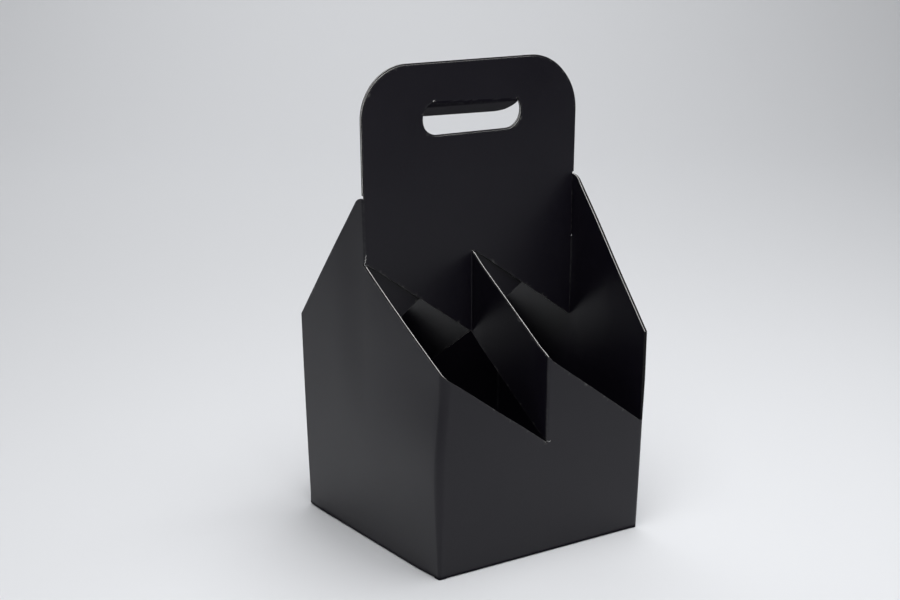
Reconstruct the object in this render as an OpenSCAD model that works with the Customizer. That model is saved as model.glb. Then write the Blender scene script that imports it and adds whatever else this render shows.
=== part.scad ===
// Four-cell bottle carrier, cut and folded from one sheet of black board.
// Millimetres. The origin is the middle of the base, on the surface it stands on.
// +X runs along the front wall to the right, +Y from the front wall to the back, +Z up.
// The sheet runs from each tall side panel through one ply of the handle and one
// divider to the front or back wall, and the second half is the first, turned by 180.

/* [Body] */
// Width over the two side walls
body_w = 180; // [160:2:220]
// Depth over the front and back walls
body_d = 180; // [160:2:220]
// Height of the low corners of the walls
low_h = 82; // [60:1:110]
// Rise of each slanted cut edge
step_h = 59.5; // [45:0.5:70]
// Outer radius of the soft upright corners
corner_r = 3.5; // [3:0.5:5]

/* [Board] */
// Thickness of the board
board_t = 1.5; // [1.2:0.1:2]
// Inner radius of the sharper folds
crease_r = 0.5; // [0.3:0.1:0.8]
// Radius of the small round that ends each cut
relief_r = 0.8; // [0.5:0.1:1]

/* [Tall side panels] */
// Height of the free corner above the middle corners of the walls
wing_rise = 6.5; // [0:0.5:20]
// Height of the panel's top above the low end of the handle fold
wing_over = 46; // [36:1:60]
// Level length at the panel's top, before it slopes
wing_level = 8; // [6:0.5:12]
// Radius between the level top and the slope
wing_r = 13; // [4:0.5:14]
// Distance of the free edge from the corner of the box
wing_edge_in = 0.8; // [0.5:0.1:1.5]

/* [Handle] */
// Height of the handle above the tall side panels
handle_rise = 88; // [78:1:110]
// Distance of the handle's sides from the faces of the side walls
handle_in = 0.6; // [0.3:0.1:2]
// Radius of the handle's top corners
handle_r = 40; // [15:1:60]
// Height of the narrow neck where the handle leaves the side panels
neck_h = 2; // [1:0.5:4]
// How much higher the rear ply was glued than the front ply
ply_shift = 1; // [0:0.25:2]

/* [Hand hole] */
// Length of the hole
hole_w = 84; // [70:1:100]
// Radius of its round ends
hole_r = 12; // [9:0.5:14]
// Distance from the top of the handle down to the flap's crease
crease_drop = 30; // [24:1:40]
// Height of the crease above the middle of the round ends
crease_up = 8.7; // [4:0.1:8.8]
// How far the flap is pushed back from the plane of the handle
flap_angle = 65; // [30:1:85]

/* [Base] */
// Width of the seam between the two base flaps
seam_w = 1; // [0.5:0.1:2]
// How far each base flap reaches past the middle on one side
seam_step = 12; // [6:1:20]
// Length of the inner side flaps from the side walls
side_flap_l = 54; // [30:1:70]
// Slant taken off each end of a side flap
side_flap_slant = 34; // [10:1:45]
// Radius of the openings where the creases meet at the base corners
corner_hole_r = 1.2; // [0.8:0.1:1.5]
// Width of the glued tab inside the back left corner
tab_w = 18; // [12:1:30]
// Slant at the ends of the glued tab
tab_slant = 6; // [3:1:10]
// Space left between the inner flaps, the tab and the walls beside them
flap_gap = 1; // [0.5:0.1:2]

/* [Hidden] */
$fn = 96;

half_w = body_w / 2;
half_d = body_d / 2;
mid_h = low_h + step_h;
peak_h = mid_h + step_h;
wing_low_h = mid_h + wing_rise;
wing_top_h = peak_h + wing_over;
neck_top_h = wing_top_h + neck_h;
handle_top_h = wing_top_h + handle_rise;
crease_h = handle_top_h - crease_drop;
hole_h = crease_h - crease_up;

// Outer radius of a sharp fold, and the length over which upper panels grip the tray
fold_r = board_t + crease_r;
grip_h = 2;
// Overshoot of a cutting tool past the face that it cuts
over = 1;
// Small step where a round surface meets the flat one beside it
round_step = 0.02;
// Angle by which the flap's crease runs on into the board on each side
crease_lap = 20;

// Slope of a tall side panel, and the largest round that its level top leaves room for
wing_slope = atan((wing_top_h - wing_low_h) / (half_d - wing_edge_in - wing_level));
hinge_y = fold_r - board_t;
wing_fit_r = min(wing_r, 0.95 * (wing_level - hinge_y) / tan(wing_slope / 2));
wing_tangent = wing_fit_r * tan(wing_slope / 2);

// Width of the hand hole at the flap's crease
crease_w = hole_w - 2 * hole_r + 2 * sqrt(hole_r * hole_r - crease_up * crease_up);

// Upright plate across X: the profile is drawn in Y and Z
module plate_x(x, thick) {
    translate([x, 0, 0]) rotate([90, 0, 90]) linear_extrude(thick) children();
}

// Upright plate across Y: the profile is drawn in X and Z
module plate_y(y, thick) {
    translate([0, y + thick, 0]) rotate([90, 0, 0]) linear_extrude(thick) children();
}

// Quarter-round fold whose outer side faces the front left
module fold(x, y, r, z0, z1) {
    translate([x + r, y + r, z0]) linear_extrude(z1 - z0) intersection() {
        difference() {
            circle(r);
            circle(r - board_t);
        }
        translate([-r, -r]) square(r);
    }
}

module rounded_rect(w, d, r) {
    square([w - 2 * r, d], center = true);
    square([w, d - 2 * r], center = true);
    for (x = [-1, 1], y = [-1, 1])
        translate([x * (w / 2 - r), y * (d / 2 - r)]) circle(r);
}

// Side view of a box with rounded lower corners
module round_foot(w, r, z0, z1) {
    translate([-w / 2, z0 + r]) square([w, z1 - z0 - r]);
    translate([-w / 2 + r, z0]) square([w - 2 * r, z1 - z0]);
    for (x = [-1, 1]) translate([x * (w / 2 - r), z0 + r]) circle(r);
}

// Block with soft upright corners and a folded lower edge
module soft_block(w, d, side_r, foot_r, z0, z1) {
    intersection() {
        translate([0, 0, z0]) linear_extrude(z1 - z0) rounded_rect(w, d, side_r);
        plate_y(-d / 2, d) round_foot(w, foot_r, z0, z1);
        plate_x(-w / 2, w) round_foot(d, foot_r, z0, z1);
    }
}

// Seam between the two base flaps: each one reaches past the middle on one side
module seam_shape() {
    end_x = half_w - board_t - crease_r;
    line = [[-end_x, seam_step], [-seam_step, seam_step], [seam_step, -seam_step], [end_x, -seam_step]];
    half = [0, seam_w / 2];
    polygon([for (p = line) p - half, for (i = [3:-1:0]) line[i] + half]);
}

// Inner flap of the base, folded in from the left wall
module side_flap() {
    wide = half_d - board_t - flap_gap;
    translate([0, 0, board_t]) linear_extrude(board_t) polygon([
        [-half_w + board_t / 2, -wide],
        [-half_w + side_flap_l, -wide + side_flap_slant],
        [-half_w + side_flap_l, wide - side_flap_slant],
        [-half_w + board_t / 2, wide]
    ]);
}

// Closed lower part, the same height all round
module tray() {
    difference() {
        union() {
            difference() {
                soft_block(body_w, body_d, corner_r, fold_r, 0, low_h);
                soft_block(
                    body_w - 2 * board_t, body_d - 2 * board_t,
                    corner_r - board_t, crease_r, board_t, low_h + over
                );
                translate([0, 0, -over]) linear_extrude(board_t + 2 * over) seam_shape();
            }
            for (turn = [0, 180]) rotate(turn) side_flap();
        }
        for (x = [-1, 1], y = [-1, 1])
            translate([x * (half_w - corner_r), y * (half_d - corner_r), -over])
                cylinder(r = corner_hole_r, h = 2 * board_t + 2 * over);
    }
}

// Tab of the back wall, glued to the inner face of the left wall
module glue_tab() {
    root_y = half_d - board_t;
    foot_h = 2 * board_t + flap_gap;
    head_h = low_h - flap_gap;
    plate_x(-half_w + board_t, board_t) polygon([
        [root_y, foot_h],
        [root_y, head_h],
        [root_y - tab_w, head_h - tab_slant],
        [root_y - tab_w, foot_h + tab_slant]
    ]);
}

// Upper part of one corner: a slanted edge that climbs along the side wall,
// runs level round the soft corner and falls along the front wall
module corner_panel() {
    plate_x(-half_w, board_t) polygon([
        [-half_d + corner_r, low_h - grip_h],
        [-half_d + corner_r, mid_h],
        [hinge_y, peak_h],
        [hinge_y, low_h - grip_h]
    ]);
    fold(-half_w, -half_d, corner_r, low_h - grip_h, mid_h);
    plate_y(-half_d, board_t) polygon([
        [-half_w + corner_r, low_h - grip_h],
        [-half_w + corner_r, mid_h],
        [-board_t / 2, low_h],
        [-board_t / 2, low_h - grip_h]
    ]);
}

// Tall side panel: its back edge is free, and its front edge folds into the handle
module wing() {
    free_y = half_d - wing_edge_in;
    turn_z = wing_top_h - wing_fit_r;
    plate_x(-half_w, board_t) difference() {
        polygon([
            [hinge_y, low_h - grip_h],
            [hinge_y, wing_top_h],
            [wing_level, wing_top_h],
            [free_y, wing_low_h],
            [free_y, low_h],
            [half_d - corner_r, low_h],
            [half_d - corner_r, low_h - grip_h]
        ]);
        difference() {
            polygon([
                [wing_level - wing_tangent, wing_top_h],
                [wing_level - wing_tangent, wing_top_h + over],
                [wing_level + over, wing_top_h + over],
                [wing_level + wing_tangent * cos(wing_slope) + over * sin(wing_slope),
                    wing_top_h - wing_tangent * sin(wing_slope) + over * cos(wing_slope)],
                [wing_level + wing_tangent * cos(wing_slope), wing_top_h - wing_tangent * sin(wing_slope)]
            ]);
            translate([wing_level - wing_tangent, turn_z]) circle(wing_fit_r + round_step);
        }
    }
    fold(-half_w, -board_t, fold_r, peak_h, wing_top_h);
}

// Outline of the handle above its neck
module handle_outline(shift) {
    w = body_w - 2 * handle_in;
    top = handle_top_h + shift;
    translate([-w / 2, neck_top_h]) square([w, top - handle_r - neck_top_h]);
    translate([-w / 2 + handle_r, neck_top_h]) square([w - 2 * handle_r, top - neck_top_h]);
    for (x = [-1, 1]) translate([x * (w / 2 - handle_r), top - handle_r]) circle(handle_r);
}

// Hand hole: a long round-ended opening, cut off level at the flap's crease
module hole_outline(shift) {
    translate([0, hole_h + shift]) intersection() {
        union() {
            square([hole_w - 2 * hole_r, 2 * hole_r], center = true);
            for (x = [-1, 1]) translate([x * (hole_w / 2 - hole_r), 0]) circle(hole_r);
        }
        translate([-hole_w / 2, -hole_r]) square([hole_w, hole_r + crease_up]);
    }
}

// One ply of the handle: left of the middle it hangs from the slanted cut of the
// side wall and folds into the divider, right of it the cut above the divider frees it
module ply(shift) {
    plate_y(-board_t, board_t) difference() {
        union() {
            polygon([
                [-half_w + fold_r, peak_h],
                [-half_w + fold_r, neck_top_h],
                [half_w - fold_r, neck_top_h],
                [half_w - fold_r, wing_top_h],
                [half_w - board_t / 2, wing_top_h],
                [half_w - board_t / 2, mid_h],
                [board_t / 2, peak_h],
                [board_t / 2, mid_h],
                [-board_t / 2, mid_h]
            ]);
            handle_outline(shift);
        }
        hole_outline(shift);
    }
}

// Divider between two cells, with the fold that joins it to the front wall
module divider() {
    plate_x(-board_t / 2, board_t) polygon([
        [-half_d + fold_r, low_h],
        [-half_d + fold_r, mid_h],
        [-board_t, peak_h],
        [-board_t / 2, peak_h],
        [-board_t / 2, mid_h],
        [-board_t, mid_h]
    ]);
    fold(-board_t / 2, -half_d, fold_r, low_h, mid_h);
}

// Right half of the front wall, above the tray
module front_panel() {
    start_x = fold_r - board_t / 2;
    plate_y(-half_d, board_t) polygon([
        [start_x, low_h - grip_h],
        [start_x, mid_h],
        [half_w - corner_r, low_h],
        [half_w - corner_r, low_h - grip_h]
    ]);
}

// Small rounds at the ends of the cuts
module cut_ends() {
    translate([-half_w - over, hinge_y, peak_h]) rotate([0, 90, 0])
        cylinder(r = relief_r, h = board_t + 2 * over);
    translate([-board_t / 2, -half_d - over, low_h]) rotate([-90, 0, 0])
        cylinder(r = relief_r, h = board_t + 2 * over);
}

// Half of the folded sheet above the tray
module half_sheet(shift) {
    difference() {
        union() {
            corner_panel();
            wing();
            ply(shift);
            divider();
            front_panel();
        }
        cut_ends();
    }
}

// Flap of the hand hole, pushed back through the rear ply: its round crease ends in
// the rounds of the cut, and it runs on a little way into the ply and the flap
module hole_flap() {
    reach = 2 * board_t;
    sector = [for (a = [-crease_lap, flap_angle / 2, flap_angle + crease_lap]) reach * [-cos(a), -sin(a)]];
    plate_x((relief_r - crease_w) / 2, crease_w - relief_r) translate([0, crease_h]) intersection() {
        circle(board_t - round_step);
        polygon(concat([[0, 0]], sector));
    }
    translate([0, 0, crease_h]) rotate([flap_angle, 0, 0]) translate([0, 0, -crease_h])
        plate_y(-board_t, board_t) hole_outline(0);
}

module carrier() {
    color([0.13, 0.13, 0.14]) union() {
        difference() {
            union() {
                tray();
                half_sheet(0);
                rotate(180) half_sheet(ply_shift);
                glue_tab();
            }
            for (x = [-1, 1]) translate([x * crease_w / 2, -board_t - over, crease_h])
                rotate([-90, 0, 0]) cylinder(r = relief_r, h = board_t + over);
        }
        hole_flap();
    }
}

carrier();
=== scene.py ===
"""Bottle carrier of folded black board, dressed for the studio.

The sheet is drawn flat, panel by panel, as it is cut: outlines, folds and cut edges.
Each panel is then folded into place, and panels that share a fold are joined there,
so the carrier stays one continuous sheet with real thickness. The work is done in
millimetres, in the frame of the CAD part, and ends in metres.
"""

import math

import bmesh
import bpy
from mathutils import Matrix, Vector
from mathutils.geometry import tessellate_polygon


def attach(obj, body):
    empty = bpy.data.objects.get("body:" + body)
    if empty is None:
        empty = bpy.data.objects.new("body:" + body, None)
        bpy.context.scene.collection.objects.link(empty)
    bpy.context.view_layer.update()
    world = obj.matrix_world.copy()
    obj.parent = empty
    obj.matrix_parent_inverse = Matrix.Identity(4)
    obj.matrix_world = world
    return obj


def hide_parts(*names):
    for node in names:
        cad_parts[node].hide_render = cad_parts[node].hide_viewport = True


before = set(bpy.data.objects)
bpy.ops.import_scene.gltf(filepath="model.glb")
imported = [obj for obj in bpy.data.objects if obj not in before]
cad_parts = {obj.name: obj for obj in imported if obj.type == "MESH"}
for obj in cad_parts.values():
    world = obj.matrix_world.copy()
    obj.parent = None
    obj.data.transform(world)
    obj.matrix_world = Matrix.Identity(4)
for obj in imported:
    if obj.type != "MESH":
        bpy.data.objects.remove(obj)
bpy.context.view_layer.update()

MM = 0.001

# Body of the carrier, as in the CAD part: walls, board, folds, rounds at the ends of cuts
HALF = 90.0
LOW = 82.0
STEP = 59.5
MID = LOW + STEP
PEAK = MID + STEP
BOARD = 1.5
CORNER_R = 3.5
FOLD_IN = 0.5
FOLD_OUT = FOLD_IN + BOARD
BITE_R = 0.8

# The front left corner is softer, but not at its foot
FRONT_LEFT_R = 5.5
FRONT_LEFT_FOOT_R = 1.8
FRONT_LEFT_FOOT_TOP = 70.0

# The front wall's left cut is raised in its middle, and its right cut drops more steeply at first
CUT_RAISED = ((-45.0, 0.65), (-20.0, 1.0))
CUT_DROP = (2.2, 2.36)

# The divider's front end is off the middle, and it bows between its two ends
MIDDLE = 1.8
DIVIDER_BOW = 0.8
BOW_IN = 0.15
BOW_OUT = 0.1

# Tall side panels, whose free ends stand a little inside the corners
WING_LOW = MID + 6.5
WING_LOW_RIGHT = WING_LOW - 0.8
WING_TOP = PEAK + 46.0
WING_LEVEL = 5.6
WING_R = 13.0
WING_IN = 0.8
WING_CLEAR = 0.3
HINGE_Y = 0.5
HINGE_RELEASE = 5.0

# Handle and hand hole. The rear ply stands a little higher and is a hair narrower, so that
# its sides don't merge with the front ply's
HANDLE_TOP = WING_TOP + 88.0
HANDLE_HALF = 89.9
HANDLE_WAIST = 0.7
HANDLE_R = 40.0
HANDLE_R_LEFT = 36.3
NECK = 2.0
NECK_SLANT = 0.6
NECK_ROUND = ((0.5, 0.0), (0.12, 0.2), (0.0, 0.8))
REAR_SHIFT = 1.0
REAR_NARROWER = 0.03
HOLE_HALF = 41.5
HOLE_R = 12.4
HOLE_Z = HANDLE_TOP - 38.0

# The hole's outline is cut from one end of the crease round below to the other end
CUT_LEFT = 106.0
CUT_RIGHT = 46.0
REAR_CUT_LEFT = 126.0
REAR_CUT_RIGHT = 82.0

# Flap of the hole: inner radius of its bend and its angle, at the left and the right end
FLAP_IN = (3.5, 1.0)
FLAP_ANGLE = (64.0, 62.5)

# Degrees by which the flap's outline is shorter than the cut, at its left and its right end, how
# deep it starts beside its crease, how far its right end is drawn in, and its grid
FLAP_LESS = (7.0, 4.0)
FLAP_START = -0.25
FLAP_DRAWN = 0.5
FLAP_ROWS = [-0.6, -1.2, -1.8, -2.4, -3.0, -3.8, -4.6, -5.6] + [-8.0 - 3.2 * i for i in range(6)]

# Base: the outer flaps' stepped seam, the side flaps that climb onto the outer ones, how the
# flaps are set in at their ends, and where the cuts between them end
SEAM_HALF = 0.5
SEAM_STEP = 12.0
SIDE_FLAP = 54.0
SIDE_SLANT = 34.0
SIDE_RAISED = BOARD + 0.1
SIDE_CLIMB = 7.0
FLAP_IN_FROM_BEND = 1.5
OUTER_INSET = 0.4
SIDE_INSET = 0.6
INSET_DEPTH = 1.0
FOOT = 0.15
FREE_FOOT = 0.9

# The wall's lower end isn't turned under at the strip's free end and this near a corner
FREE_STRIP = 2.5
CORNER_CLEAR = 0.2

# Glue tab: its width, the heights of its slanted ends at its fold and at its edge, and the nip
# beside its fold
TAB = 16.0
TAB_TOP = (LOW - 1.0, LOW - 7.0)
TAB_FOOT = (4.0, 10.0)
TAB_NIP = 0.6

# How the sheet is drawn: the worn band along cuts and where it fades on a fold, the layers
# through the board with their black liners, the outer one drawn wide as painted shade of the
# flute between the liners, the chamfer of a cut edge, and the grid, which keeps clear of bends
# and is closer beside the hinges
BAND = 0.8
FADE = 2.6 * BAND
# Width of the dark outer band on a cut: black liner, and painted shade of the flute beyond it
LINER_AND_SHADE = 1.0
INNER_LINER = 0.1
LAYERS = (0.0, LINER_AND_SHADE, BOARD - INNER_LINER, BOARD)
CHAMFER = 0.1
GRID = 5.0
FIRST_ROW = 4.0
ROWS = 67
FIRST_BASE_ROW = 3.0
BASE_ROWS = 22
BEND_CLEAR = 1.2
HINGE_SIDE = 0.8

# Lengths taken as none: in comparisons, in a panel's ring, between panels, and for an edge
SAME = 1e-3
RING_WELD = 0.002
PANEL_WELD = 0.004
SHORT = 0.02

# Scale of the UV map, and the places of the materials on the carrier
UV_SCALE = 0.01
BLACK, CORE, CUT = 0, 1, 2

# How far the liner's stretch, lightened partly as painted sheen, reaches from the middle of a fold
REACH_SOFT = 5.2
REACH_CORNER = 3.6
REACH_PLY = 2.6
REACH_DIVIDER = 2.2
REACH_HINGE = 1.6
REACH_FLAP = 3.0
FLAP_BEND = 2.0
SOFT_SHARE = 0.3
PLY_BEND_TOP = WING_TOP + 3.0

# The liner turns matt from this far above the lower fold, over this length
MATT_ABOVE = 0.7
MATT_RUN = 1.2

# Degrees from which an edge is drawn sharp
SHARP = 38.0

# The stance of the real carrier: narrower towards the base, and a little lower than cut
SETTLE_Z = 230.0
SETTLE_BOW = 1.65
SETTLE_X = 0.046
SETTLE_Y = 0.0367
SETTLE_HEIGHT = 0.993

# The front half of the left wall leans in towards its top, most at the front corner
LEAN = 5.5
LEAN_MIDDLE = 1.0
LEAN_POWER = 1.6
LEAN_FROM = 68.0
LEAN_TO = 140.0
LEAN_END = 252.0
LEAN_FADE = 60.0
LEAN_BACK = 40.0

# The tall panel of the right wall leans in a little
LEAN_RIGHT = 1.1
LEAN_RIGHT_FROM = 105.0
LEAN_RIGHT_RISE = 50.0
LEAN_RIGHT_END = 235.0
LEAN_RIGHT_FRONT = -10.0

# The left wall's foot bulges out between its corners
FOOT_OUT = 1.3
FOOT_TOP = 9.0
FOOT_X = -70.0
FOOT_RUN_X = 15.0
FOOT_FRONT = -88.0
FOOT_BACK = 100.0
FOOT_RUN_Y = 30.0

# The board looks thicker along the free cut of the right tall panel: how much, over which
# height above the low corner it grows, and from where and over which length off the hinge
SWELL = 0.8
SWELL_RISE = 30.0
SWELL_Y = -3.0
SWELL_RUN = 12.0

QUARTER = math.pi / 2
ARC = QUARTER * CORNER_R
FRONT_LEFT_ARC = QUARTER * FRONT_LEFT_R
TURN = QUARTER * FOLD_OUT
BENT = 2.0
DIVIDER_RUN = HALF - FOLD_OUT - BOARD - FOLD_IN
DIVIDER_END = 2 * BENT + DIVIDER_RUN
BASE_V = FOLD_OUT - TURN
BASE_REACH = HALF - FOLD_OUT


def smooth(t):
    """Soft step from 0 to 1 as t goes from 0 to 1."""
    t = min(1.0, max(0.0, t))
    return t * t * (3.0 - 2.0 * t)


def arc(cu, cv, r, start, end, step=9.0):
    """Points of a round stretch of an outline, angles in degrees."""
    n = max(2, round(abs(end - start) / step))
    angles = [math.radians(start + (end - start) * i / n) for i in range(n + 1)]
    return [(cu + r * math.cos(a), cv + r * math.sin(a)) for a in angles]


# Places along the wall strip, measured round the outer face from the back left
def u_left(y):
    return HALF - y


U_FRONT = u_left(-HALF + FRONT_LEFT_R) + FRONT_LEFT_ARC


def u_front(x):
    return U_FRONT + x + HALF - FRONT_LEFT_R


U_RIGHT = u_front(HALF - CORNER_R) + ARC


def u_right(y):
    return U_RIGHT + y + HALF - CORNER_R


U_BACK = u_right(HALF - CORNER_R) + ARC


def u_back(x):
    return U_BACK + HALF - CORNER_R - x


U_TAB = u_back(-HALF + BOARD + FOLD_OUT) + TURN
TAB_END = U_TAB + TAB


def plan(u):
    """Outer face seen from above: a point and the inward direction, or in a bend its centre,
    angle and radius.
    """
    flat = HALF - CORNER_R
    first = HALF - FRONT_LEFT_R
    if u <= U_FRONT - FRONT_LEFT_ARC:
        return (-HALF, HALF - u), (1.0, 0.0), None
    if u < U_FRONT:
        a = math.pi + (u - U_FRONT + FRONT_LEFT_ARC) / FRONT_LEFT_R
        return None, None, (-first, -first, a, FRONT_LEFT_R)
    if u <= U_RIGHT - ARC:
        return (u - U_FRONT - first, -HALF), (0.0, 1.0), None
    if u < U_RIGHT:
        a = 3 * QUARTER + (u - U_RIGHT + ARC) / CORNER_R
        return None, None, (flat, -flat, a, CORNER_R)
    if u <= U_BACK - ARC:
        return (HALF, u - U_RIGHT - flat), (-1.0, 0.0), None
    if u < U_BACK:
        return None, None, (flat, flat, (u - U_BACK + ARC) / CORNER_R, CORNER_R)
    if u <= U_TAB - TURN:
        return (flat - (u - U_BACK), HALF), (0.0, -1.0), None
    if u < U_TAB:
        a = QUARTER + (u - U_TAB + TURN) / FOLD_OUT
        return None, None, (-HALF + BOARD + FOLD_OUT, HALF - FOLD_OUT, a, FOLD_OUT)
    return (-HALF + BOARD, HALF - FOLD_OUT - (u - U_TAB)), (1.0, 0.0), None


def front_left_corner(share, r, inward):
    """Point of the front left corner, which bends more tightly near the base."""
    side = FRONT_LEFT_R - r
    run = share * (2 * side + QUARTER * r)
    if run < side:
        return -HALF + inward, -HALF + FRONT_LEFT_R - run
    if run > side + QUARTER * r:
        return -HALF + r + run - side - QUARTER * r, -HALF + inward
    a = math.pi + (run - side) / r
    return -HALF + r + (r - inward) * math.cos(a), -HALF + r + (r - inward) * math.sin(a)


def corner_gap(u):
    """Distance from the nearest corner's bend or from the free end, 0 inside it."""
    bends = (
        (0.0, FREE_STRIP), (U_FRONT - FRONT_LEFT_ARC, U_FRONT), (U_RIGHT - ARC, U_RIGHT),
        (U_BACK - ARC, U_BACK), (U_TAB - TURN, U_TAB),
    )
    return min(max(a - u, u - b, 0.0) for a, b in bends)


def place_wall(u, v, w):
    """Walls, base flaps and glue tab."""
    # The tall panel of the right wall is swollen away from its folds
    if u > U_RIGHT - ARC:
        grown = smooth((v - LOW) / SWELL_RISE) * smooth((u_right(SWELL_Y) - u) / SWELL_RUN)
        w += SWELL * min(1.0, w / LINER_AND_SHADE) * grown
    # How far in and how high: the lower end turns under into the base, but not at the corners
    if v >= FOLD_OUT or (v > 0.0 and corner_gap(u) < CORNER_CLEAR):
        inward, z = w, v
    elif v > FOLD_OUT - TURN:
        a = (FOLD_OUT - v) / FOLD_OUT
        rho = FOLD_OUT - w
        inward, z = FOLD_OUT - rho * math.cos(a), FOLD_OUT - rho * math.sin(a)
    else:
        inward, z = FOLD_OUT + (FOLD_OUT - TURN - v), w
    if v < 0.0 and (u < U_FRONT or U_RIGHT - ARC < u < U_BACK):
        z += SIDE_RAISED * smooth((inward - FOLD_OUT) / SIDE_CLIMB)

    point, inner, bend = plan(u)
    if bend is None:
        x, y = point[0] + inner[0] * inward, point[1] + inner[1] * inward
    elif u < U_FRONT:
        softer = smooth(v / FRONT_LEFT_FOOT_TOP)
        r = FRONT_LEFT_FOOT_R + (FRONT_LEFT_R - FRONT_LEFT_FOOT_R) * softer
        x, y = front_left_corner(1 - (U_FRONT - u) / FRONT_LEFT_ARC, r, inward)
    else:
        cx, cy, a, r = bend
        x, y = cx + (r - inward) * math.cos(a), cy + (r - inward) * math.sin(a)
        # The free end of the right front panel leaves the corner and runs straight on
        if U_RIGHT - ARC < u < U_RIGHT and v > LOW:
            free = min(1.0, (v - LOW) / (WING_LOW - LOW))
            x += (HALF - inward - x) * free
            y += (-HALF + CORNER_R + u - U_RIGHT - y) * free
    return x, y, z


def place_ply(x, z, w):
    """Front ply of the handle: its left end turns into the tall side panel."""
    if x >= -HALF + FOLD_OUT:
        return x, -BOARD + w, z
    a = (-HALF + FOLD_OUT - x) / FOLD_OUT
    rho = FOLD_OUT - w
    px = -HALF + FOLD_OUT - rho * math.sin(a)
    py = HINGE_Y - rho * math.cos(a)
    free = smooth((z - WING_TOP) / HINGE_RELEASE)
    return px + (x - px) * free, py + (-BOARD + w - py) * free, z


def place_divider(u, z, w):
    """Divider, with the bends that join it to the ply and to the front wall."""
    edge = BOARD / 2 + FOLD_IN
    if u < BENT:
        a = QUARTER * u / BENT
        rho = FOLD_IN + w
        return -edge + rho * math.sin(a), -BOARD - FOLD_IN + rho * math.cos(a), z
    if u <= BENT + DIVIDER_RUN:
        t = (u - BENT) / DIVIDER_RUN
        bow = DIVIDER_BOW * smooth(t / BOW_IN) * smooth((1 - t) / BOW_OUT)
        return -BOARD / 2 + w + MIDDLE * t - bow, -BOARD - FOLD_IN - (u - BENT), z
    a = QUARTER * (u - BENT - DIVIDER_RUN) / BENT
    rho = FOLD_OUT - w
    return MIDDLE + edge - rho * math.cos(a), -HALF + FOLD_OUT - rho * math.sin(a), z


def hole_end(side, angle):
    """Point of one of the hole's round ends, side -1 or 1, angle in degrees."""
    a = math.radians(angle)
    return side * (HOLE_HALF - HOLE_R) + HOLE_R * math.cos(a), HOLE_Z + HOLE_R * math.sin(a)


CREASE_LEFT = hole_end(-1, CUT_LEFT)
CREASE_RIGHT = hole_end(1, CUT_RIGHT)


def crease_share(x):
    """How far along the crease x is, from 0 at its left end to 1 at its right end."""
    return min(1.0, max(0.0, (x - CREASE_LEFT[0]) / (CREASE_RIGHT[0] - CREASE_LEFT[0])))


def crease_z(x):
    """Height of the crease, which slants because its left end is cut further up."""
    slant = (CREASE_RIGHT[1] - CREASE_LEFT[1]) / (CREASE_RIGHT[0] - CREASE_LEFT[0])
    return CREASE_LEFT[1] + slant * (x - CREASE_LEFT[0])


def place_flap(x, v, w):
    """Flap of the hand hole, pushed back round its crease. v is the height over the crease."""
    t = crease_share(x)
    inner = FLAP_IN[0] + (FLAP_IN[1] - FLAP_IN[0]) * t
    angle = math.radians(FLAP_ANGLE[0] + (FLAP_ANGLE[1] - FLAP_ANGLE[0]) * t)
    outer = inner + BOARD
    a = min(-v / outer, angle)
    run = -v - a * outer
    rho = outer - w
    y = inner - rho * math.cos(a) + run * math.sin(a)
    z = crease_z(x) - rho * math.sin(a) - run * math.cos(a)
    return x, y, z


def turned(place):
    """The same fold, turned by 180 degrees about Z."""
    def other(u, v, w):
        x, y, z = place(u, v, w)
        return -x, -y, z
    return other


# Heights of the grid that all the upright panels share, so that joined edges match. They are
# closer together in the lower fold, over the low edges and where the handle comes free
HEIGHTS = [FOLD_OUT - TURN * share for share in (1.0, 0.75, 0.5, 0.25, 0.0)]
HEIGHTS += [FIRST_ROW + GRID * i for i in range(ROWS)]
HEIGHTS += [LOW + 1.5, LOW + 5.0, WING_TOP + 1.2, WING_TOP + 3.0]


def grid(start, end, *bends):
    """Grid lines from start to end, closer together in the bends."""
    n = max(1, round((end - start) / GRID))
    lines = [start + (end - start) * i / n for i in range(1, n)]
    for a, b, count in bends:
        lines = [q for q in lines if not a - BEND_CLEAR < q < b + BEND_CLEAR]
        lines += [a + (b - a) * i / count for i in range(count + 1)]
    return sorted(q for q in lines if start + SAME < q < end - SAME)


def on_fold(p, q, folds):
    """Whether the edge from p to q lies on one of the folds."""
    for (au, av), (bu, bv) in folds:
        length = math.hypot(bu - au, bv - av)
        away = [abs((bu - au) * (r[1] - av) - (bv - av) * (r[0] - au)) / length for r in (p, q)]
        along = [((bu - au) * (r[0] - au) + (bv - av) * (r[1] - av)) / length for r in (p, q)]
        if max(away) < SAME and min(along) > -SAME and max(along) < length + SAME:
            return True
    return False


def prepared(loop, folds, hole):
    """Outline with the material on its left, and its wear: 1 on cuts, 0 on folds."""
    area = sum(a[0] * b[1] - b[0] * a[1] for a, b in zip(loop, loop[1:] + loop[:1]))
    if (area < 0) != hole:
        loop = loop[::-1]
    out = []
    for p, q in zip(loop, loop[1:] + loop[:1]):
        length = math.hypot(q[0] - p[0], q[1] - p[1])
        out.append((p[0], p[1], 1.0))
        if on_fold(p, q, folds) and length > 3 * FADE:
            for t in (FADE / length, 1 - FADE / length):
                out.append((p[0] + (q[0] - p[0]) * t, p[1] + (q[1] - p[1]) * t, 0.0))
    return out


def inner_loop(loop, gap):
    """The outline moved into the material by gap, and by less at its sharpest corners."""
    sharpest = 0.35
    out = []
    for i, (u, v, _) in enumerate(loop):
        pu, pv, _ = loop[i - 1]
        nu, nv, _ = loop[(i + 1) % len(loop)]
        a = Vector((u - pu, v - pv)).normalized()
        b = Vector((nu - u, nv - v)).normalized()
        na, nb = Vector((-a.y, a.x)), Vector((-b.y, b.x))
        m = (na + nb) / max(sharpest, 1.0 + na.dot(nb))
        out.append((u + m.x * gap, v + m.y * gap))
    return out


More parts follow.
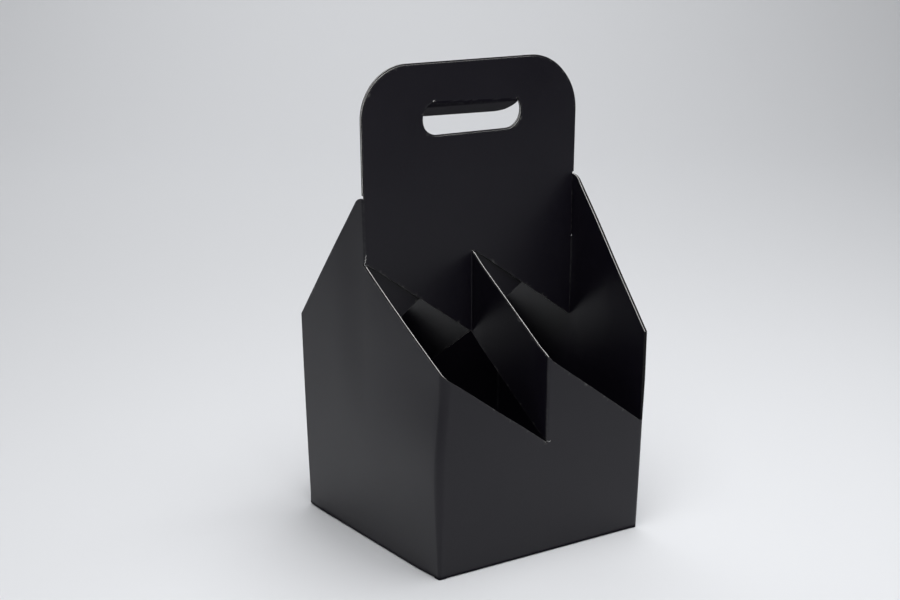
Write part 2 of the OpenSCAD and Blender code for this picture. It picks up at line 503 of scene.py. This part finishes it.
def filled(loops):
    """Flat mesh within the loops, with a band along them that holds their wear."""
    bm = bmesh.new()
    wear = bm.verts.layers.float.new("wear")
    ring = []
    for loop in loops:
        outer_verts = [bm.verts.new((u, v, 0.0)) for u, v, _ in loop]
        for vert, (_, _, amount) in zip(outer_verts, loop):
            vert[wear] = amount
        inner_verts = [bm.verts.new((u, v, 0.0)) for u, v in inner_loop(loop, BAND)]
        n = len(loop)
        for i in range(n):
            j = (i + 1) % n
            bm.faces.new((outer_verts[i], outer_verts[j], inner_verts[j], inner_verts[i]))
        ring.append(inner_verts)
    flat = [v for loop in ring for v in loop]
    for tri in tessellate_polygon([[v.co.copy() for v in loop] for loop in ring]):
        corners = [flat[i] for i in tri]
        if (corners[1].co - corners[0].co).cross(corners[2].co - corners[0].co).z < 0:
            corners.reverse()
        bm.faces.new(corners)
    bmesh.ops.remove_doubles(bm, verts=bm.verts[:], dist=RING_WELD)
    return bm, wear


def cut_along(bm, axis, lines):
    """Cuts the flat mesh along lines across one axis, 0 for u and 1 for v."""
    normal = (1, 0, 0) if axis == 0 else (0, 1, 0)
    for q in lines:
        co = (q, 0, 0) if axis == 0 else (0, q, 0)
        everything = bm.verts[:] + bm.edges[:] + bm.faces[:]
        bmesh.ops.bisect_plane(bm, geom=everything, dist=SHORT, plane_co=co, plane_no=normal)


def tidy_cells(bm, wear, us, vs):
    """Joins the triangles within each cell of the grid, and splits wide cells evenly."""
    lines_u, lines_v = set(round(q, 3) for q in us), set(round(q, 3) for q in vs)
    spare = []
    for e in bm.edges:
        if len(e.link_faces) != 2:
            continue
        a, b = e.verts
        on_u = abs(a.co.x - b.co.x) < SAME and round(a.co.x, 3) in lines_u
        on_v = abs(a.co.y - b.co.y) < SAME and round(a.co.y, 3) in lines_v
        worn = a[wear] > 0 or b[wear] > 0
        if not (on_u or on_v or worn):
            spare.append(e)
    bmesh.ops.dissolve_edges(bm, edges=spare, use_verts=False, use_face_split=False)
    # While they are flat, so that no triangle folds over
    wide = [f for f in bm.faces if len(f.verts) > 4]
    bmesh.ops.triangulate(bm, faces=wide, ngon_method="BEAUTY")


def flat_panel(outline, holes, folds, us, vs):
    """Flat mesh of one panel, cut along the grid, with its wear on a layer."""
    loops = [prepared(outline, folds, False)] + [prepared(h, folds, True) for h in holes]
    bm, wear = filled(loops)
    cut_along(bm, 0, us)
    cut_along(bm, 1, vs)
    tidy_cells(bm, wear, us, vs)
    return bm, wear


def into_material(cut):
    """Directions into the material at each vertex of the flat cut edges."""
    ways = {}
    for e in cut:
        loop = e.link_loops[0]
        a, b = loop.vert, loop.link_loop_next.vert
        d = (b.co - a.co).normalized()
        for v in (a, b):
            ways.setdefault(v.index, []).append(Vector((-d.y, d.x)))
    return ways


def add_panel(bm, outline, place, us, vs, folds=(), holes=(), bend=None, matt=None, blind=None):
    """Folds one flat panel into place and gives it its thickness and cut edges.

    bend and matt say how much stretch and how much rubbing the liner has at a point, the stretch
    shown lighter, partly as painted sheen, and blind whether the core is hidden there.
    """
    flat, wear = flat_panel(outline, holes, folds, us, vs)
    out_wear, out_fold, out_matt = (bm.verts.layers.float[key] for key in ("wear", "fold", "matt"))
    uv = bm.loops.layers.uv["board"]
    flat.verts.ensure_lookup_table()
    flat.verts.index_update()

    edges = [e for e in flat.edges if len(e.link_faces) == 1]
    cut = [e for e in edges if not on_fold(tuple(e.verts[0].co.xy), tuple(e.verts[1].co.xy), folds)]
    held = {v.index for e in edges if e not in set(cut) for v in e.verts}
    ways = into_material(cut)
    sharpest = 0.4
    layers = {}

    def vert(v, layer):
        key = (v.index, layer)
        if key not in layers:
            u, z = v.co.x, v.co.y
            if layer in (0, 3) and v.index in ways and v.index not in held:
                m = sum(ways[v.index], Vector((0, 0)))
                m = m / max(sharpest, m.length) * CHAMFER
                u, z = u + m.x, z + m.y
            made = bm.verts.new(place(u, z, LAYERS[layer]))
            made[out_wear] = v[wear]
            made[out_fold] = bend(v.co.x, v.co.y) if bend else 0.0
            made[out_matt] = matt(v.co.x, v.co.y) if matt else 0.0
            layers[key] = made
        return layers[key]

    def face(corners, places, material):
        try:
            f = bm.faces.new(corners)
        except ValueError:
            # The flat mesh can hold the same face twice
            return
        f.material_index = material
        f.smooth = True
        for loop, (u, z) in zip(f.loops, places):
            loop[uv].uv = (u * UV_SCALE, z * UV_SCALE)

    for f in flat.faces:
        around = [l.vert for l in f.loops]
        places = [(v.co.x, v.co.y) for v in around]
        face([vert(v, 0) for v in around], places, BLACK)
        face([vert(v, 3) for v in reversed(around)], places[::-1], BLACK)
    for e in cut:
        loop = e.link_loops[0]
        a, b = loop.vert, loop.link_loop_next.vert
        places = [(b.co.x, b.co.y), (a.co.x, a.co.y), (a.co.x, a.co.y), (b.co.x, b.co.y)]
        middle = CUT if blind and blind(*a.co.xy) and blind(*b.co.xy) else CORE
        # The outer band takes the dark cut colour: black liner, and painted shade of the flute
        for low, material in ((0, CUT), (1, middle), (2, CUT)):
            corners = [vert(b, low), vert(a, low), vert(a, low + 1), vert(b, low + 1)]
            face(corners, places, material)
    flat.free()


def near(value, centre, reach):
    """1 at the centre, falling softly to 0 at the reach."""
    return smooth(1.0 - abs(value - centre) / reach)


def wall_bend(u, v):
    """How much stretch the liner has over the folds of the wall strip, lightened partly as painted
    sheen.
    """
    amount = max(
        SOFT_SHARE * near(u, U_FRONT - FRONT_LEFT_ARC / 2, REACH_SOFT),
        near(u, U_BACK - ARC / 2, REACH_CORNER),
    )
    if v <= LOW:
        for corner in (U_RIGHT - ARC / 2, U_TAB - TURN / 2):
            amount = max(amount, near(u, corner, REACH_CORNER))
    if v > PEAK:
        for hinge in (u_left(HINGE_Y), u_right(-HINGE_Y)):
            amount = max(amount, near(u, hinge, REACH_HINGE))
    return amount


def wing_points(along):
    """Round top of a tall side panel, up to its hinge. along(y) is u."""
    slope = math.atan2(WING_TOP - WING_LOW, HALF - WING_IN - WING_LEVEL)
    tangent = min(WING_R * math.tan(slope / 2), WING_LEVEL - HINGE_Y - WING_CLEAR)
    r = tangent / math.tan(slope / 2)
    # The arc's last point is left out, because it would crowd the hinge
    start = 90 - math.degrees(slope)
    pts = arc(WING_LEVEL - tangent, WING_TOP - r, r, start, 90, step=6.0)[:-1]
    return [(along(y), z) for y, z in pts] + [(along(HINGE_Y), WING_TOP)]


def long_flap(across, first, last):
    """Outer flap of the base with its stepped edge, from place first to place last of a wall."""
    deep = BASE_V - BASE_REACH - SEAM_STEP + SEAM_HALF
    short = BASE_V - BASE_REACH + SEAM_STEP + SEAM_HALF
    way = 1 if last > first else -1
    start, end = across(first + way * OUTER_INSET), across(last - way * OUTER_INSET)
    return [
        (across(first), FOOT), (start, BASE_V - INSET_DEPTH), (start, short),
        (across(-way * SEAM_STEP), short), (across(way * SEAM_STEP), deep),
        (end, deep), (end, BASE_V - INSET_DEPTH), (across(last), FOOT),
    ]


def short_flap(along, first, last):
    """Side flap of the base, which lies on the outer flaps."""
    way = 1 if last > first else -1
    end = BASE_V - (SIDE_FLAP - FOLD_OUT)
    return [
        (along(first), FOOT), (along(first + way * SIDE_INSET), BASE_V - INSET_DEPTH),
        (along(first + way * SIDE_SLANT), end), (along(last - way * SIDE_SLANT), end),
        (along(last - way * SIDE_INSET), BASE_V - INSET_DEPTH), (along(last), FOOT),
    ]


def glue_tab():
    """Tab inside the left wall, with slanted ends."""
    return [
        (U_TAB - TURN, LOW), (U_TAB - TURN + TAB_NIP, LOW - TAB_NIP), (U_TAB, TAB_TOP[0]),
        (TAB_END, TAB_TOP[1]), (TAB_END, TAB_FOOT[1]), (U_TAB, TAB_FOOT[0]),
        (U_TAB - TURN, FOOT + TAB_NIP),
    ]


def wall_outline():
    """The wall strip with the base flaps below it and the glue tab at its end."""
    slope = STEP / (HALF - CORNER_R + HINGE_Y)
    fall_angle = math.degrees(math.atan(slope))
    free = HALF - WING_IN
    pts = []
    # One half: tall panel, side wall, front wall. The other half repeats it
    for along, across, radius in ((u_left, u_front, FRONT_LEFT_R), (u_right, u_back, CORNER_R)):
        flip = 1 if along is u_left else -1
        flat = HALF - radius
        if flip == 1:
            pts += [(along(free), FREE_FOOT), (along(free), WING_LOW)]
        else:
            pts += [(along(-free), LOW), (along(-free), WING_LOW_RIGHT)]
        pts += wing_points(lambda y: along(flip * y))
        pts += arc(along(flip * HINGE_Y), PEAK, BITE_R, 90, 360 - fall_angle, step=34)
        # The cut runs straight on round the corner
        rise = slope * QUARTER * radius / 2
        pts.append((along(-flip * flat), MID + rise))
        for share in (0.25, 0.5, 0.75):
            corner = along(-flip * flat) + QUARTER * radius * share
            pts.append((corner, MID + rise * (1 - 2 * share)))
        pts.append((across(-flip * flat), MID - rise))
        if flip == 1:
            fall = (MID - rise - LOW) / (flat + MIDDLE - BOARD / 2)
            for x, raised in CUT_RAISED:
                pts.append((across(x), MID - rise - fall * (x + flat) + raised))
        end = across(-flip * (BOARD / 2) + MIDDLE * flip)
        pts += arc(end, LOW, BITE_R, 180 - fall_angle, 360, step=34)
        start = across(flip * (BOARD / 2 + FOLD_IN + MIDDLE))
        pts += [(start, LOW), (start, MID)]
        if flip == 1:
            pts += [(start + CUT_DROP[0], MID - CUT_DROP[1]), (across(HALF - CORNER_R), LOW)]
    pts += glue_tab()
    # Base flaps, from the back wall round to the left wall
    side = HALF - CORNER_R - FLAP_IN_FROM_BEND
    front_side = HALF - FRONT_LEFT_R - FLAP_IN_FROM_BEND
    pts += long_flap(u_back, -side, side)
    pts += short_flap(u_right, side, -side)
    pts += long_flap(u_front, side, -front_side)
    pts += short_flap(u_left, -front_side, side)
    return pts


def wall_folds():
    """Where the wall strip turns into the plies and the dividers."""
    divider = BOARD / 2 + FOLD_IN + MIDDLE
    folds = [((u, PEAK + BITE_R), (u, WING_TOP)) for u in (u_left(HINGE_Y), u_right(-HINGE_Y))]
    return folds + [((u, LOW), (u, MID)) for u in (u_front(divider), u_back(-divider))]


# Places of the ply's hinge and of the ends of the flap's crease, inside the rounds of its cuts
HINGE_X = -HALF + FOLD_OUT - TURN
CREASE_ENDS = (CREASE_LEFT[0] + BITE_R, CREASE_RIGHT[0] - BITE_R)


def ply_outline(shift, front):
    """One ply of the handle, from its hinge round over the top to the divider's fold."""
    edge = BOARD / 2
    right = HALF - FOLD_OUT
    top = HANDLE_TOP + shift
    side = HANDLE_HALF
    waist = side - HANDLE_WAIST - (0.0 if front else REAR_NARROWER)
    left_r, right_r = (HANDLE_R_LEFT, HANDLE_R) if front else (HANDLE_R, HANDLE_R_LEFT)
    pts = [(HINGE_X, PEAK + BITE_R), (HINGE_X, WING_TOP)]
    pts += [(-waist - out, WING_TOP + up) for out, up in NECK_ROUND]
    pts += arc(-side + left_r, top - left_r, left_r, 180, 90, step=3.0)
    pts += arc(side - right_r, top - right_r, right_r, 90, 0, step=3.0)
    pts += [(waist, WING_TOP + NECK), (right, WING_TOP + NECK - NECK_SLANT)]
    pts += [(right, MID), (edge, PEAK), (-edge - FOLD_IN, PEAK), (-edge - FOLD_IN, MID)]
    pts += [(-HALF + FOLD_OUT, PEAK)]
    pts += arc(HINGE_X, PEAK, BITE_R, 0, 90, step=30)[:-1]
    return pts


def ply_folds(flap):
    """Folds of a ply, with the crease of its flap if it has one."""
    edge = BOARD / 2 + FOLD_IN
    folds = [((HINGE_X, PEAK + BITE_R), (HINGE_X, WING_TOP)), ((-edge, MID), (-edge, PEAK))]
    if flap:
        folds.append(tuple((x, crease_z(x)) for x in CREASE_ENDS))
    return folds


def hole_shape(shift, front):
    """Hand hole of a ply, from the left end of the crease round below to its right end."""
    centre = HOLE_HALF - HOLE_R
    middle = HOLE_Z + shift
    if not front:
        left = arc(-centre, middle, HOLE_R, REAR_CUT_LEFT, 270)
        return left + arc(centre, middle, HOLE_R, 270, 360 + REAR_CUT_RIGHT)
    # The cuts end in small rounds
    skip = math.degrees(BITE_R / HOLE_R)
    left = arc(-centre, middle, HOLE_R, CUT_LEFT + skip, 270)
    right = arc(centre, middle, HOLE_R, 270, 360 + CUT_RIGHT - skip)
    first, last = [(x, crease_z(x)) for x in CREASE_ENDS]
    first_round = arc(*CREASE_LEFT, BITE_R, 0, CUT_LEFT + 90 - skip, step=40)[1:-1]
    last_round = arc(*CREASE_RIGHT, BITE_R, CUT_RIGHT - 90, 180, step=40)[1:-1]
    return [first] + first_round + left + right + last_round + [last]


def flap_shape():
    """What the hole's outline leaves, hanging from the crease, its ends drawn in a little."""
    centre = HOLE_HALF - HOLE_R
    left = arc(-centre, HOLE_Z, HOLE_R, CUT_LEFT + FLAP_LESS[0], 270)
    right = arc(centre, HOLE_Z, HOLE_R, 270, 360 + CUT_RIGHT - FLAP_LESS[1])
    pts = [(CREASE_ENDS[0], 0.0), (CREASE_LEFT[0] + BITE_R / 2, FLAP_START)]
    for x, z in left + right:
        beyond = max(0.0, x - CREASE_RIGHT[0])
        drawn = CREASE_RIGHT[0] + FLAP_DRAWN * beyond if beyond else x
        pts.append((drawn, z - crease_z(x)))
    return pts + [(CREASE_RIGHT[0] - BITE_R / 2, FLAP_START), (CREASE_ENDS[1], 0.0)]


def divider_outline():
    return [(0.0, MID), (0.0, PEAK), (DIVIDER_END, MID), (DIVIDER_END, LOW)]


def divider_folds():
    return [((0.0, MID), (0.0, PEAK)), ((DIVIDER_END, LOW), (DIVIDER_END, MID))]


# Liner with stretch, lightened partly as painted sheen, or rubbed, and cuts whose core is hidden
def ply_bend(x, z):
    return near(x, (HINGE_X - HALF + FOLD_OUT) / 2, REACH_PLY) if z < PLY_BEND_TOP else 0.0


def divider_bend(u, z):
    return max(near(u, BENT / 2, REACH_DIVIDER), near(u, DIVIDER_END - BENT / 2, REACH_DIVIDER))


def flap_bend(x, v):
    return near(-v, FLAP_BEND, REACH_FLAP)


def foot_matt(u, v):
    return smooth((FOLD_OUT + MATT_ABOVE - v) / MATT_RUN)


def flap_matt(x, v):
    return 1.0


def free_end(u, v):
    """The free ends of the tall panels, where the black liner is drawn over the cut."""
    margin = 0.1
    corner = abs(v - LOW) < SHORT and U_RIGHT - ARC - margin < u < U_RIGHT
    ends = (u_left(HALF - WING_IN), u_right(WING_IN - HALF))
    return corner or min(abs(u - end) for end in ends) < SHORT


def build_board():
    """The whole folded sheet, with its torn slivers, before it settles."""
    bm = bmesh.new()
    for key in ("wear", "fold", "matt"):
        bm.verts.layers.float.new(key)
    bm.loops.layers.uv.new("board")

    corners = [
        (U_FRONT - FRONT_LEFT_ARC, U_FRONT, 12), (U_RIGHT - ARC, U_RIGHT, 6),
        (U_BACK - ARC, U_BACK, 6), (U_TAB - TURN, U_TAB, 5),
    ]
    hinges = [(u - HINGE_SIDE, u + HINGE_SIDE, 2) for u in (u_left(HINGE_Y), u_right(-HINGE_Y))]
    wall_us = grid(u_left(HALF), TAB_END, *corners, *hinges)
    wall_rows = [BASE_V - FIRST_BASE_ROW - GRID * i for i in range(BASE_ROWS)] + HEIGHTS
    add_panel(bm, wall_outline(), place_wall, wall_us, wall_rows, wall_folds(),
              bend=wall_bend, matt=foot_matt, blind=free_end)

    ply_us = grid(
        HINGE_X, HANDLE_HALF, (HINGE_X, -HALF + FOLD_OUT, 5), (-BOARD / 2 - FOLD_IN, BOARD / 2, 2),
    )
    divider_us = grid(0.0, DIVIDER_END, (0.0, BENT, 5), (BENT + DIVIDER_RUN, DIVIDER_END, 5))
    for shift, turn in ((0.0, lambda p: p), (REAR_SHIFT, turned)):
        front = shift == 0.0
        holes = [hole_shape(shift, front)]
        add_panel(bm, ply_outline(shift, front), turn(place_ply), ply_us, HEIGHTS, ply_folds(front),
                  holes, bend=ply_bend)
        add_panel(bm, divider_outline(), turn(place_divider), divider_us, HEIGHTS, divider_folds(),
                  bend=divider_bend)

    crease = [((CREASE_ENDS[0], 0.0), (CREASE_ENDS[1], 0.0))]
    add_panel(bm, flap_shape(), place_flap, ply_us, FLAP_ROWS, crease, bend=flap_bend, matt=flap_matt)

    for points in SLIVERS:
        add_sliver(bm, points)
    bmesh.ops.remove_doubles(bm, verts=bm.verts[:], dist=PANEL_WELD)
    bmesh.ops.dissolve_degenerate(bm, dist=SHORT, edges=bm.edges[:])
    loose = [e for e in bm.edges if not e.link_faces]
    bmesh.ops.delete(bm, geom=loose, context="EDGES")
    return bm


def add_sliver(bm, points):
    """A torn sliver of the core: a small closed ribbon along the points, thinning to its tip."""
    rings = []
    for i, point in enumerate(points):
        here = Vector(point)
        ahead = Vector(points[min(i + 1, len(points) - 1)]) - Vector(points[max(i - 1, 0)])
        ahead.normalize()
        side = ahead.cross(SLIVER_FACING).normalized()
        out = side.cross(ahead)
        share = 1.0 - SLIVER_LOSS * i / (len(points) - 1)
        a, b = side * SLIVER_WIDTH * share / 2, out * SLIVER_THICK * share / 2
        rings.append([bm.verts.new(here + q) for q in (-a - b, a - b, a + b, -a + b)])
    faces = [rings[0][::-1], rings[-1]]
    for p, q in zip(rings, rings[1:]):
        faces += [(p[i], p[(i + 1) % 4], q[(i + 1) % 4], q[i]) for i in range(4)]
    for corners in faces:
        bm.faces.new(corners).material_index = CORE


# Torn slivers of the core, each from its root to its tip, where SLIVER_LOSS of its width is gone
SLIVER_WIDTH = 0.55
SLIVER_THICK = 0.16
SLIVER_LOSS = 0.75
SLIVER_FACING = Vector((0.3, -0.9, 0.2))
SLIVERS = [
    # Low end of the front wall's middle cut
    [(2.1, -89.4, 82.6), (2.9, -89.9, 81.7), (3.8, -90.3, 81.9), (4.4, -90.6, 82.8)],
    # Fold over the low end of the left hinge
    [(-89.5, -0.3, 201.6), (-89.9, -1.0, 202.6), (-89.4, -1.4, 203.7), (-89.8, -1.2, 204.8)],
    [(-89.3, -0.9, 204.2), (-89.0, -1.5, 205.2), (-89.4, -1.4, 206.4)],
    [(-89.2, -1.0, 206.6), (-88.8, -1.5, 207.4), (-88.9, -1.5, 208.6)],
    # Left end of the hand hole's crease
    [(-33.4, -1.3, 309.0), (-32.8, -1.8, 309.4), (-31.9, -1.9, 309.6)],
    # Foot of the back left corner
    [(-89.6, 87.6, 1.6), (-89.9, 88.6, 0.9), (-90.0, 89.4, 0.5)],
]


def settle(x, y, z):
    """The stance of the real carrier: it narrows towards the base, and its panels lean."""
    low = max(0.0, 1.0 - z / SETTLE_Z) ** SETTLE_BOW
    rise = smooth((z - LEAN_FROM) / (LEAN_TO - LEAN_FROM)) * smooth((LEAN_END - z) / LEAN_FADE)
    along = LEAN_MIDDLE + (LEAN - LEAN_MIDDLE) * min(1.0, max(0.0, -y / HALF)) ** LEAN_POWER
    left = along * rise * smooth((LEAN_BACK - y) / LEAN_BACK) * smooth(-x / HALF)
    right = LEAN_RIGHT * smooth((z - LEAN_RIGHT_FROM) / LEAN_RIGHT_RISE)
    right = right * smooth((LEAN_RIGHT_END - z) / LEAN_FADE)
    right = right * smooth((LEAN_RIGHT_FRONT - y) / LEAN_BACK) * smooth(x / HALF)
    foot = FOOT_OUT * smooth(1.0 - z / FOOT_TOP) * smooth((FOOT_X - x) / FOOT_RUN_X)
    foot = foot * smooth((y - FOOT_FRONT) / FOOT_RUN_Y) * smooth((FOOT_BACK - y) / FOOT_RUN_Y)
    narrow_x, narrow_y = 1.0 - SETTLE_X * low, 1.0 - SETTLE_Y * low
    return x * narrow_x + (left - right - foot), y * narrow_y, z * SETTLE_HEIGHT


def finish_mesh(bm, name):
    """Settles the board, which is in millimetres, and makes it an object in metres."""
    mesh = bpy.data.meshes.new(name)
    for v in bm.verts:
        v.co = Vector(settle(*v.co)) * MM
    bm.normal_update()
    bm.to_mesh(mesh)
    bm.free()
    mesh.set_sharp_from_angle(angle=math.radians(SHARP))
    obj = bpy.data.objects.new(name, mesh)
    bpy.context.scene.collection.objects.link(obj)
    return obj


class Nodes:
    """Small helper for building a material's nodes."""

    def __init__(self, name):
        self.material = bpy.data.materials.new(name)
        self.material.use_nodes = True
        self.tree = self.material.node_tree
        self.shader = self.tree.nodes["Principled BSDF"]

    def add(self, kind, **settings):
        node = self.tree.nodes.new(kind)
        for key, value in settings.items():
            setattr(node, key, value)
        return node

    def link(self, a, b):
        self.tree.links.new(a, b)

    def noise(self, vector, scale, detail=4.0, roughness=0.55):
        node = self.add("ShaderNodeTexNoise")
        node.inputs["Scale"].default_value = scale
        node.inputs["Detail"].default_value = detail
        node.inputs["Roughness"].default_value = roughness
        self.link(vector, node.inputs["Vector"])
        return node.outputs["Fac"]

    def ranged(self, value, low, high, to_low, to_high):
        node = self.add("ShaderNodeMapRange", clamp=True)
        limits = {"From Min": low, "From Max": high, "To Min": to_low, "To Max": to_high}
        for key, number in limits.items():
            node.inputs[key].default_value = number
        self.link(value, node.inputs["Value"])
        return node.outputs["Result"]

    def maths(self, operation, a, b):
        node = self.add("ShaderNodeMath", operation=operation)
        for socket, value in zip(node.inputs, (a, b)):
            if isinstance(value, (int, float)):
                socket.default_value = value
            else:
                self.link(value, socket)
        return node.outputs[0]

    def mix(self, factor, a, b):
        node = self.add("ShaderNodeMix", data_type="RGBA")
        self.link(factor, node.inputs["Factor"])
        for key, value in (("A", a), ("B", b)):
            socket = [s for s in node.inputs if s.name == key and s.type == "RGBA"][0]
            if isinstance(value, tuple):
                socket.default_value = (*value, 1.0)
            else:
                self.link(value, socket)
        return [s for s in node.outputs if s.type == "RGBA"][0]

    def bump(self, height, strength, distance):
        node = self.add("ShaderNodeBump")
        node.inputs["Strength"].default_value = strength
        node.inputs["Distance"].default_value = distance
        self.link(height, node.inputs["Height"])
        return node.outputs["Normal"]


def black_board():
    """Matte black liner, with folds lightened by stretch and partly by painted sheen, and rubbed edges.
    """
    n = Nodes("black_board")
    place = n.add("ShaderNodeTexCoord").outputs["Object"]
    wear = n.add("ShaderNodeAttribute", attribute_name="wear").outputs["Fac"]
    fold = n.add("ShaderNodeAttribute", attribute_name="fold").outputs["Fac"]

    fibre = n.noise(place, 900.0, 5.0, 0.6)
    cloud = n.noise(place, 14.0, 3.0, 0.5)
    scuff = n.noise(place, 260.0, 4.0, 0.65)

    clouded = n.ranged(cloud, 0.3, 0.7, 0.0, 1.0)
    base = n.mix(clouded, (0.0046, 0.0036, 0.0078), (0.0062, 0.0050, 0.0096))
    base = n.mix(n.ranged(fibre, 0.45, 0.72, 0.0, 0.35), base, (0.012, 0.011, 0.0150))
    # Stretch along the folds: lighter liner there, partly painted sheen
    bent = n.ranged(fold, 0.55, 1.0, 0.0, 1.0)
    stretched_and_sheen = n.maths("MULTIPLY", bent, n.ranged(scuff, 0.42, 0.68, 0.05, 0.55))
    base = n.mix(stretched_and_sheen, base, (0.040, 0.040, 0.042))
    # Rubbed liner along the cuts
    worn = n.ranged(wear, 0.45, 0.95, 0.0, 1.0)
    rubbed = n.maths("MULTIPLY", worn, n.ranged(scuff, 0.46, 0.66, 0.1, 0.9))
    base = n.mix(rubbed, base, (0.13, 0.128, 0.125))
    n.link(base, n.shader.inputs["Base Color"])

    rough = n.maths("ADD", n.ranged(fibre, 0.3, 0.7, 0.34, 0.42), n.ranged(cloud, 0.3, 0.7, -0.02, 0.03))
    # The flap, the foot and the base are matt
    matt = n.add("ShaderNodeAttribute", attribute_name="matt").outputs["Fac"]
    n.link(n.maths("ADD", rough, n.maths("MULTIPLY", matt, 0.3)), n.shader.inputs["Roughness"])
    n.link(n.ranged(matt, 0.0, 1.0, 0.37, 0.06), n.shader.inputs["Specular IOR Level"])
    n.link(n.bump(fibre, 0.18, 0.0002), n.shader.inputs["Normal"])
    return n.material


def cut_liner_and_painted_shade():
    """The liners, dyed black, where the cut goes through them; the wide outer band is also painted shade
    of the flute between the liners.
    """
    n = Nodes("cut_liner_and_painted_shade")
    place = n.add("ShaderNodeTexCoord").outputs["Object"]
    fibre = n.noise(place, 1100.0, 4.0, 0.6)
    base = n.mix(n.ranged(fibre, 0.35, 0.75, 0.0, 1.0), (0.005, 0.005, 0.006), (0.020, 0.019, 0.020))
    n.link(base, n.shader.inputs["Base Color"])
    n.link(n.ranged(fibre, 0.3, 0.7, 0.7, 0.85), n.shader.inputs["Roughness"])
    n.shader.inputs["Specular IOR Level"].default_value = 0.15
    n.link(n.bump(fibre, 0.4, 0.0002), n.shader.inputs["Normal"])
    return n.material


def pale_core():
    """Pale core of the board, seen where it is cut or torn."""
    n = Nodes("pale_core")
    place = n.add("ShaderNodeTexCoord").outputs["Object"]
    fibre = n.noise(place, 1500.0, 4.0, 0.65)
    patch = n.noise(place, 120.0, 3.0, 0.6)
    base = n.mix(n.ranged(patch, 0.35, 0.65, 0.0, 1.0), (0.60, 0.595, 0.585), (0.80, 0.795, 0.785))
    base = n.mix(n.ranged(fibre, 0.5, 0.75, 0.0, 0.6), base, (0.45, 0.445, 0.435))
    n.link(base, n.shader.inputs["Base Color"])
    n.link(n.ranged(fibre, 0.3, 0.7, 0.8, 0.95), n.shader.inputs["Roughness"])
    n.shader.inputs["Specular IOR Level"].default_value = 0.25
    n.link(n.bump(fibre, 0.35, 0.0002), n.shader.inputs["Normal"])
    return n.material


carrier = finish_mesh(build_board(), "board_carrier")
carrier.data.materials.append(black_board())
carrier.data.materials.append(pale_core())
carrier.data.materials.append(cut_liner_and_painted_shade())
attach(carrier, "root")
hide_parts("carrier")


# Floor that sweeps up into a backdrop, in metres, and its turn about Z in degrees
FLOOR_FRONT = -3.0
FLOOR_BACK = 1.6
FLOOR_HALF = 5.0
SWEEP_R = 1.2
SWEEP_STEPS = 16
BACKDROP_TOP = 5.0
FLOOR_TURN = -34.6


def build_floor():
    """Pale paper that lies flat under the carrier and rises behind it."""
    bm = bmesh.new()
    profile = [(FLOOR_FRONT, 0.0), (FLOOR_BACK, 0.0)]
    for i in range(1, SWEEP_STEPS + 1):
        a = QUARTER * i / SWEEP_STEPS
        profile.append((FLOOR_BACK + SWEEP_R * math.sin(a), SWEEP_R - SWEEP_R * math.cos(a)))
    profile.append((FLOOR_BACK + SWEEP_R, BACKDROP_TOP))
    rows = [[bm.verts.new((x, y, z)) for x in (-FLOOR_HALF, FLOOR_HALF)] for y, z in profile]
    for a, b in zip(rows, rows[1:]):
        f = bm.faces.new((a[0], a[1], b[1], b[0]))
        f.smooth = True
    mesh = bpy.data.meshes.new("floor")
    bm.to_mesh(mesh)
    bm.free()
    floor = bpy.data.objects.new("floor", mesh)
    bpy.context.scene.collection.objects.link(floor)
    mesh.transform(Matrix.Rotation(math.radians(FLOOR_TURN), 4, "Z"))
    n = Nodes("floor_paper")
    n.shader.inputs["Base Color"].default_value = (0.742, 0.754, 0.778, 1.0)
    n.shader.inputs["Roughness"].default_value = 0.9
    n.shader.inputs["Specular IOR Level"].default_value = 0.2
    mesh.materials.append(n.material)
    return floor


build_floor()


def area_light(name, place, target, size, power):
    """Square white light at a place, turned to its target."""
    data = bpy.data.lights.new(name, "AREA")
    data.shape = "RECTANGLE"
    data.size = size
    data.size_y = size
    data.energy = power
    light = bpy.data.objects.new(name, data)
    bpy.context.scene.collection.objects.link(light)
    light.location = place
    light.rotation_euler = (Vector(target) - Vector(place)).to_track_quat("-Z", "Y").to_euler()


area_light("key", (0.199, -0.188, 1.25), (0.0, 0.0, 0.0), 1.0, 10.2)
area_light("fill", (-0.44, -0.548, 1.3), (-0.33, -0.382, 0.0), 1.0, 11.0)
area_light("backdrop", (0.768, 1.412, 1.8), (1.102, 1.91, 0.0), 1.6, 24.4)

world = bpy.data.worlds.new("studio")
world.use_nodes = True
world.node_tree.nodes["Background"].inputs["Color"].default_value = (0.95, 0.97, 1.0, 1.0)
world.node_tree.nodes["Background"].inputs["Strength"].default_value = 0.02
bpy.context.scene.world = world

# Camera fitted to the photograph
camera_data = bpy.data.cameras.new("camera")
camera_data.sensor_width = 36.0
camera_data.lens = 67.529
camera = bpy.data.objects.new("camera", camera_data)
bpy.context.scene.collection.objects.link(camera)
camera.location = (-0.663955, -0.956719, 0.457498)
camera.rotation_euler = (math.radians(75.798), math.radians(0.050), math.radians(-34.018))
bpy.context.scene.camera = camera

bpy.context.scene.view_settings.view_transform = "Standard"
